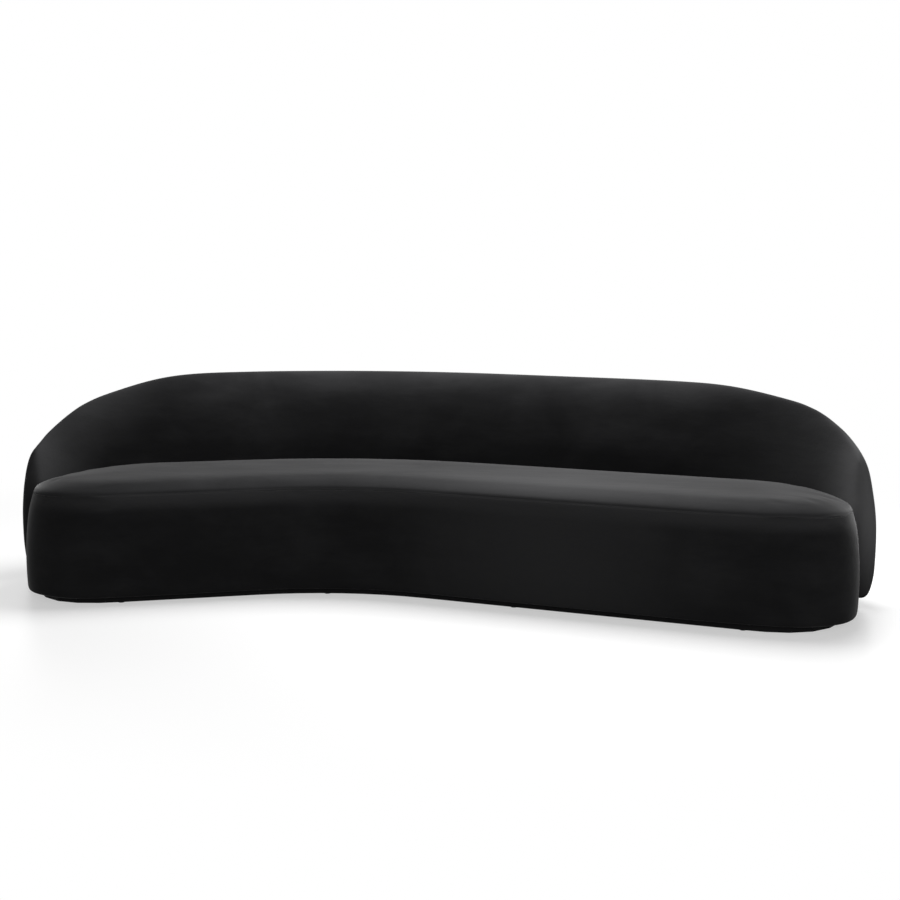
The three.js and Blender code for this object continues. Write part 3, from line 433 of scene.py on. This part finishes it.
coverLook = {
    "mergeBelow": 0.0005,  # joins the rows of points that only mark the CAD seam's width
    "rimDegrees": 50,  # sharper than this is the rim between a cover's two layers
    "hemNormal": -0.9,  # faces that look further down than this are the hem turned under
    "levels": 2,
    "fitSteps": 4,  # rounds that draw the smooth surface back through the CAD points
    "fitReach": 0.45,  # share of a point's shortest edge that it may move by
    "nosePlaces": ((-1.52, -0.15, 0.49), (1.5, -0.09, 0.52)),  # where the roll runs out into the arm ends
    "noseReach": 0.24,
    "noseFade": 0.5,  # the outer share of the reach over which the smoothing fades
    "noseStep": 0.5,  # share of the way to its neighbours' middle that a point moves in one round
    "noseRounds": 40,
    # Places drawn out or in: where, the reach, how fast it dies out upright, and how far
    "backPulls": (
        ((-1.51, -0.08, 0.54), 0.22, 1, (-0.003, -0.001, 0.003)),
        ((1.48, -0.03, 0.55), 0.22, 1, (0.004, 0, 0.012)),
        ((1.57, -0.2, 0.25), 0.28, 0.7, (0.008, 0, 0)),
    ),
    "seatPulls": (
        ((-1.5, -0.33, 0.2), 0.35, 0.3, (0.007, 0, 0)),
        ((-1.39, -0.5, 0.03), 0.16, 0.4, (0, -0.014, 0)),
        ((1.44, -0.43, 0.03), 0.17, 0.4, (0.008, -0.022, 0)),
        ((1.2, -0.6, 0.1), 0.24, 0.3, (0, 0.014, 0)),
        ((-1.38, -0.15, 0.42), 0.3, 1, (0.006, 0, -0.012)),
        ((1.4, -0.14, 0.42), 0.28, 1, (0, 0, -0.008)),
    ),
    "shoulderRise": 0.075,  # a tenth of this is how far the seat's front edge is filled above its seam
    "shoulderReach": 0.27,
    "shoulderFront": (0.1, 0.5),  # the filling grows between these shares of facing forward
    "thickness": 0.0024,
    "rollRadius": 0.0006,  # the cloth's turned edge at a seam
    "rollSegments": 2,
    "rollDegrees": 60,
    "lastLevels": 1,  # one more smoothing after the cloth is stretched
}
stretchLook = {
    "quality": 5,
    "mass": 0.4,
    "pressure": 4,
    "tension": 60,
    "bending": 8,
    "frames": 20,
    "cap": 0.0015,  # tight upholstery: no point leaves its place by more than this
}


# The copy of a CAD node's mesh, with points closer than a distance merged
def mergedCopy(node, distance=1e-5):
    shape = bmesh.new()
    shape.from_mesh(frame["nodes"][node].data)
    bmesh.ops.remove_doubles(shape, verts=shape.verts, dist=distance)
    return shape


# Keeps only the outer layer of a closed cover: the largest patch bounded by sharp rims, and the hem
# turned under it, whose edge is creased
def keepOuterLayer(shape):
    look = coverLook
    left, patches = set(shape.faces), []
    while left:
        stack, patch = [left.pop()], []
        while stack:
            face = stack.pop()
            patch.append(face)
            for edge in face.edges:
                if edge.calc_face_angle(0) < math.radians(look["rimDegrees"]):
                    for other in edge.link_faces:
                        if other in left:
                            left.discard(other)
                            stack.append(other)
        patches.append(patch)
    outer = set(max(patches, key=lambda patch: sum(face.calc_area() for face in patch)))
    for patch in patches:
        edges = {edge for face in patch for edge in face.edges}
        joined = [edge for edge in edges if any(face in outer for face in edge.link_faces)]
        highest = max(face.normal.z for face in patch)
        if outer.issuperset(patch) or not joined or highest > look["hemNormal"]:
            continue
        outer.update(patch)
        layers = shape.edges.layers.float
        crease = layers.get("crease_edge") or layers.new("crease_edge")
        for edge in joined:
            edge[crease] = 1
    bmesh.ops.delete(shape, geom=[face for face in shape.faces if face not in outer], context="FACES")


def meshFrom(shape, name):
    mesh = bpy.data.meshes.new(name)
    shape.to_mesh(mesh)
    shape.free()
    return mesh


# Applies one modifier and returns the new mesh
def withModifier(mesh, kind, settings):
    carrier = placeObject("carrier", mesh)
    modifier = carrier.modifiers.new(kind.title(), kind)
    for name, value in settings.items():
        setattr(modifier, name, value)
    evaluated = carrier.evaluated_get(bpy.context.evaluated_depsgraph_get())
    made = bpy.data.meshes.new_from_object(evaluated)
    bpy.data.objects.remove(carrier)
    return made


tiny = 1e-9  # keeps a division by a length from failing where nothing moved


def positions(mesh):
    return [vertex.co.copy() for vertex in mesh.vertices]


# Smooth surface over a cage, its edges smoothed as well
def smoothed(cage, levels):
    return withModifier(cage, "SUBSURF", {
        "levels": levels, "render_levels": levels, "boundary_smooth": "ALL"})


# Smooth surface through the points of a coarse cage: each round moves the cage by what the smoothing
# took away, and no point further than a share of its shortest edge
def smoothThrough(cage):
    look = coverLook
    wanted = positions(cage)
    room = [1] * len(wanted)
    for edge in cage.edges:
        first, second = edge.vertices
        length = (wanted[first] - wanted[second]).length * look["fitReach"]
        room[first], room[second] = min(room[first], length), min(room[second], length)
    for _ in range(look["fitSteps"]):
        fine = smoothed(cage, look["levels"])
        for vertex, goal, limit in zip(cage.vertices, wanted, room):
            move = vertex.co - fine.vertices[vertex.index].co
            vertex.co = goal + move * min(1, limit / max(move.length, tiny))
        bpy.data.meshes.remove(fine)
    return smoothed(cage, look["levels"])


# Evens out a mesh round the arm ends, less and less towards the edge of the reach
def evenOut(mesh, rounds):
    look = coverLook
    shape = bmesh.new()
    shape.from_mesh(mesh)
    shares = {}
    for vertex in shape.verts:
        nearest = min((vertex.co - Vector(place)).length for place in look["nosePlaces"])
        if nearest < look["noseReach"] and not vertex.is_boundary:
            fading = (1 - nearest / look["noseReach"]) / look["noseFade"]
            shares[vertex] = look["noseStep"] * min(1, fading)
    for _ in range(rounds):
        moves = []
        for vertex, share in shares.items():
            around = [edge.other_vert(vertex).co for edge in vertex.link_edges]
            moves.append((vertex, (sum(around, Vector()) / len(around) - vertex.co) * share))
        for vertex, move in moves:
            vertex.co += move
    shape.to_mesh(mesh)
    shape.free()


# Draws a mesh out or in round given places
def drawOut(mesh, pulls):
    for vertex in mesh.vertices:
        start = vertex.co.copy()
        for place, reach, upright, move in pulls:
            away = (start - Vector(place)) * Vector((1, 1, upright))
            share = 1 - min(1, away.length / reach) ** 2
            vertex.co += Vector(move) * share * share


# Filled when the seat's top cover is made, which comes first
seatSeam = []


# Places along a cover's edge, each with its outward direction in plan
def seamPlaces(mesh):
    shape = bmesh.new()
    shape.from_mesh(mesh)
    shape.normal_update()
    places = []
    for vertex in shape.verts:
        ends = [edge.other_vert(vertex).co for edge in vertex.link_edges if edge.is_boundary]
        if len(ends) == 2:
            along = ends[0] - ends[1]
            outward = Vector((along.y, -along.x, 0)).normalized()
            if outward.dot(vertex.normal) < 0:
                outward.negate()
            places.append((vertex.co.copy(), outward))
    shape.free()
    return places


# Fills the seat's shoulder between the seam and the crown, at the front and less towards the ends
def fillShoulder(mesh, seam):
    look = coverLook
    low, high = look["shoulderFront"]
    tree = KDTree(len(seam))
    for number, (place, _) in enumerate(seam):
        tree.insert(place, number)
    tree.balance()
    for vertex in mesh.vertices:
        place, outward = seam[tree.find(vertex.co)[1]]
        away = (vertex.co - place).dot(-outward) / look["shoulderReach"]
        front = min(1, max(0, (-outward.y - low) / (high - low)))
        if 0 < away < 1:
            vertex.co.z += look["shoulderRise"] * front * away * (1 - away) ** 3


# The small changes of form between the CAD's rows of points: even arm ends, fuller ridges, a fuller
# shoulder of the seat, and its corners drawn in or out
def finishForm(mesh, node, rounds):
    look = coverLook
    if node == "seat_top_cover":
        seatSeam.extend(seamPlaces(mesh))
    if node in ("seat_top_cover", "seat_foam"):
        fillShoulder(mesh, seatSeam)
    if "seat" in node:
        drawOut(mesh, look["seatPulls"])
    else:
        evenOut(mesh, rounds)
        drawOut(mesh, look["backPulls"])


# Stretches a cover over its padding: held along its seams and hems, pressed out from inside
def stretchCloth(mesh):
    look = stretchLook
    carrier = placeObject("carrier", mesh)
    shape = bmesh.new()
    shape.from_mesh(mesh)
    edge = [vertex.index for vertex in shape.verts if vertex.is_boundary]
    shape.free()
    carrier.vertex_groups.new(name="sewn").add(edge, 1, "REPLACE")
    modifier = carrier.modifiers.new("Cloth", "CLOTH")
    cloth = modifier.settings
    cloth.quality = look["quality"]
    cloth.mass = look["mass"]
    cloth.tension_stiffness = cloth.compression_stiffness = cloth.shear_stiffness = look["tension"]
    cloth.bending_stiffness = look["bending"]
    cloth.vertex_group_mass = "sewn"
    cloth.use_pressure = True
    cloth.uniform_pressure_force = look["pressure"]
    cloth.effector_weights.gravity = 0
    modifier.collision_settings.use_collision = False
    modifier.point_cache.frame_end = look["frames"]
    start = positions(mesh)
    for number in range(1, look["frames"] + 1):
        bpy.context.scene.frame_set(number)
    pressed = carrier.evaluated_get(bpy.context.evaluated_depsgraph_get()).to_mesh()
    moves = [vertex.co - place for vertex, place in zip(pressed.vertices, start)]
    bpy.data.objects.remove(carrier)
    bpy.context.scene.frame_set(1)
    for vertex, place, move in zip(mesh.vertices, start, moves):
        vertex.co = place + move * min(1, look["cap"] / max(move.length, tiny))
    print("  moved by up to", round(max(move.length for move in moves) * 1000, 1), "mm before the cap")


# One cover: the outer layer of the CAD cover, smoothed, shaped and stretched, then given the thickness
# of the cloth and rolled rims
def makeCover(name, node):
    look = coverLook
    shape = mergedCopy(node, look["mergeBelow"])
    keepOuterLayer(shape)
    bmesh.ops.join_triangles(shape, faces=shape.faces, angle_face_threshold=math.pi,
                             angle_shape_threshold=math.pi)
    print(name, "cage:", sum(len(f.verts) == 4 for f in shape.faces), "quads,",
          sum(len(f.verts) == 3 for f in shape.faces), "triangles")
    fine = smoothThrough(meshFrom(shape, name))
    finishForm(fine, node, look["noseRounds"])
    stretchCloth(fine)
    thick = withModifier(smoothed(fine, look["lastLevels"]), "SOLIDIFY", {
        "thickness": look["thickness"], "offset": -1, "use_even_offset": False})
    rolled = withModifier(thick, "BEVEL", {
        "width": look["rollRadius"], "segments": look["rollSegments"],
        "limit_method": "ANGLE", "angle_limit": math.radians(look["rollDegrees"])})
    rolled.name = name
    piece = finishPiece(name, rolled, "velvet", node)
    # The back covers take the velvet with painted sheen on the arm ends
    if "back" in node:
        rolled.materials[0] = velvetPaintedSheen
    return piece


covers = {
    "seatTopVelvet": "seat_top_cover",
    "seatSideVelvet": "seat_side_cover",
    "backInsideVelvet": "back_inside_cover",
    "backOutsideVelvet": "back_outside_cover",
}
for name, node in covers.items():
    makeCover(name, node)
print("covers made")


# Foam pads inside the covers, their cut edges rounded and pressed in a little by the stretched cloth
padLook = {"squeeze": 0.003, "joinAngle": 0.6, "levels": 1, "noseRounds": 20}
pads = {
    "seatFoamPad": "seat_foam",
    "seatSidePad": "seat_side_padding",
    "shortBackPad": "back_foam_1",
    "middleBackPad": "back_foam_2",
    "bendBackPad": "back_foam_3",
    "longBackPad": "back_foam_4",
    "shortArmPad": "short_arm_core",
    "longArmPad": "long_arm_core",
}
for name, node in pads.items():
    shape = mergedCopy(node)
    bmesh.ops.join_triangles(shape, faces=shape.faces, angle_face_threshold=padLook["joinAngle"],
                             angle_shape_threshold=math.pi)
    mesh = smoothed(meshFrom(shape, name + "Cut"), padLook["levels"])
    finishForm(mesh, node, padLook["noseRounds"])
    for vertex, normal in [(vertex, vertex.normal.copy()) for vertex in mesh.vertices]:
        vertex.co -= normal * padLook["squeeze"]
    mesh.name = name
    finishPiece(name, mesh, "foam", node)
print("foam pads made")

# Dust cloths stapled flat under the boards
dustCloths = {
    "seatDustCloth": {
        "node": "seat_dust_sheet", "on": "seat_bottom_board", "flat": (0.58, 2.99), "area": 1.63},
    "backDustCloth": {
        "node": "back_dust_sheet", "on": "back_bottom_board", "flat": (0.18, 3.6), "area": 0.425},
}
for name, cloth in dustCloths.items():
    mesh = meshFrom(mergedCopy(cloth["node"]), name)
    piece = finishPiece(name, mesh, "felt", cloth["node"])
    for face in mesh.polygons:
        face.use_smooth = False
print("dust cloths made")


stageLook = {
    "floor": "#b8b8b8",
    "floorBounce": "#484848",  # what the floor throws back on the sofa, low so that its sides stay dark
    "floorSize": 60,
    "floorGlow": 0.5,
    "floorRoughness": 0.35,
    "floorGloss": 0.3,
    "fadeShape": (0.45, 1, 0),  # the fade to white runs in ovals round the sofa
    "fadeStart": 0.8,
    "fadeEnd": 2.2,
    "backdrop": "#ffffff",
    "world": "#ffffff",
    "worldStrength": 0.07,
}


# One where the ray comes from the camera, a reflection or a clear material
def seenRays(tree):
    path = addNode(tree, "ShaderNodeLightPath")
    either = addNode(tree, "ShaderNodeMath", None,
                     {0: path.outputs["Is Camera Ray"], 1: path.outputs["Is Glossy Ray"]},
                     operation="MAXIMUM")
    seen = addNode(tree, "ShaderNodeMath", None,
                   {0: either.outputs[0], 1: path.outputs["Is Transmission Ray"]}, operation="MAXIMUM")
    return seen.outputs[0]


# Studio floor, a painted board: pale, with a soft gloss, and fading to the backdrop away from the sofa
def makeFloor():
    look = stageLook
    material, tree, shader, place = startMaterial("studioFloor", {
        "Roughness": look["floorRoughness"],
        "Specular IOR Level": look["floorGloss"],
        "Emission Color": linear(look["backdrop"]),
    })
    seen = seenRays(tree)
    tone = addNode(tree, "ShaderNodeMix", {"A": linear(look["floorBounce"]), "B": linear(look["floor"])},
                   {"Factor": seen}, data_type="RGBA")
    tree.links.new(tone.outputs["Result"], shader.inputs["Base Color"])
    glow = addNode(tree, "ShaderNodeMath", {1: look["floorGlow"]}, {0: seen}, operation="MULTIPLY")
    tree.links.new(glow.outputs[0], shader.inputs["Emission Strength"])
    oval = addNode(tree, "ShaderNodeMapping", {"Scale": look["fadeShape"]}, {"Vector": place})
    distance = addNode(tree, "ShaderNodeVectorMath", None, {0: oval.outputs["Vector"]}, operation="LENGTH")
    fade = addNode(tree, "ShaderNodeMapRange",
                   {"From Min": look["fadeStart"], "From Max": look["fadeEnd"]},
                   {"Value": distance.outputs["Value"]}, interpolation_type="SMOOTHSTEP")
    share = addNode(tree, "ShaderNodeMath", None, {0: fade.outputs["Result"], 1: seen},
                    operation="MULTIPLY")
    white = addNode(tree, "ShaderNodeEmission", {"Color": linear(look["backdrop"]), "Strength": 1})
    mixed = addNode(tree, "ShaderNodeMixShader", None, {
        "Fac": share.outputs[0], 1: shader.outputs["BSDF"], 2: white.outputs["Emission"]})
    tree.links.new(mixed.outputs["Shader"], tree.nodes["Material Output"].inputs["Surface"])
    shape = bmesh.new()
    bmesh.ops.create_grid(shape, x_segments=1, y_segments=1, size=look["floorSize"] / 2)
    mesh = meshFrom(shape, "floor")
    mesh.materials.append(material)
    placeObject("floor", mesh)


makeFloor()

world = bpy.data.worlds.new("studio")
bpy.context.scene.world = world
world.use_nodes = True
background = world.node_tree.nodes["Background"]
background.inputs["Color"].default_value = linear(stageLook["world"])
strength = addNode(world.node_tree, "ShaderNodeMapRange",
                   {"To Min": stageLook["worldStrength"], "To Max": 1},
                   {"Value": seenRays(world.node_tree)})
world.node_tree.links.new(strength.outputs["Result"], background.inputs["Strength"])

lampLook = {
    "overhead": {"place": (0.5, 0.8, 2.9), "aim": (0.4, 0, 0), "width": 2.2, "depth": 1.8, "power": 165},
    "right": {"place": (3.4, -2.6, 1.5), "aim": (1.5, -0.2, 0.4), "width": 1.2, "depth": 1.2, "power": 12},
    "front": {"place": (0.9, -5.2, 2.2), "aim": (0.6, 0, 0.3), "width": 2.5, "depth": 1.5, "power": 42},
}
for name, lamp in lampLook.items():
    light = bpy.data.lights.new(name, "AREA")
    light.shape = "RECTANGLE"
    light.size, light.size_y, light.energy = lamp["width"], lamp["depth"], lamp["power"]
    holder = placeObject(name, light)
    holder.location = lamp["place"]
    holder.rotation_euler = (Vector(lamp["aim"]) - Vector(lamp["place"])).to_track_quat("-Z", "Y").to_euler()

cameraLook = {
    "place": (0.98400, -5.48795, 1.30187),
    "heading": 1.74022,
    "pitch": 0.14329,
    "lens": 60.62,
    "sensor": 36,
}
lens = bpy.data.cameras.new("camera")
lens.lens, lens.sensor_width = cameraLook["lens"], cameraLook["sensor"]
camera = placeObject("camera", lens)
camera.location = cameraLook["place"]
level = math.cos(cameraLook["pitch"])
direction = Vector((math.cos(cameraLook["heading"]) * level, math.sin(cameraLook["heading"]) * level,
                    -math.sin(cameraLook["pitch"])))
camera.rotation_euler = direction.to_track_quat("-Z", "Y").to_euler()
bpy.context.scene.camera = camera
bpy.context.scene.view_settings.view_transform = "Standard"
print("stage, lamps and camera placed")
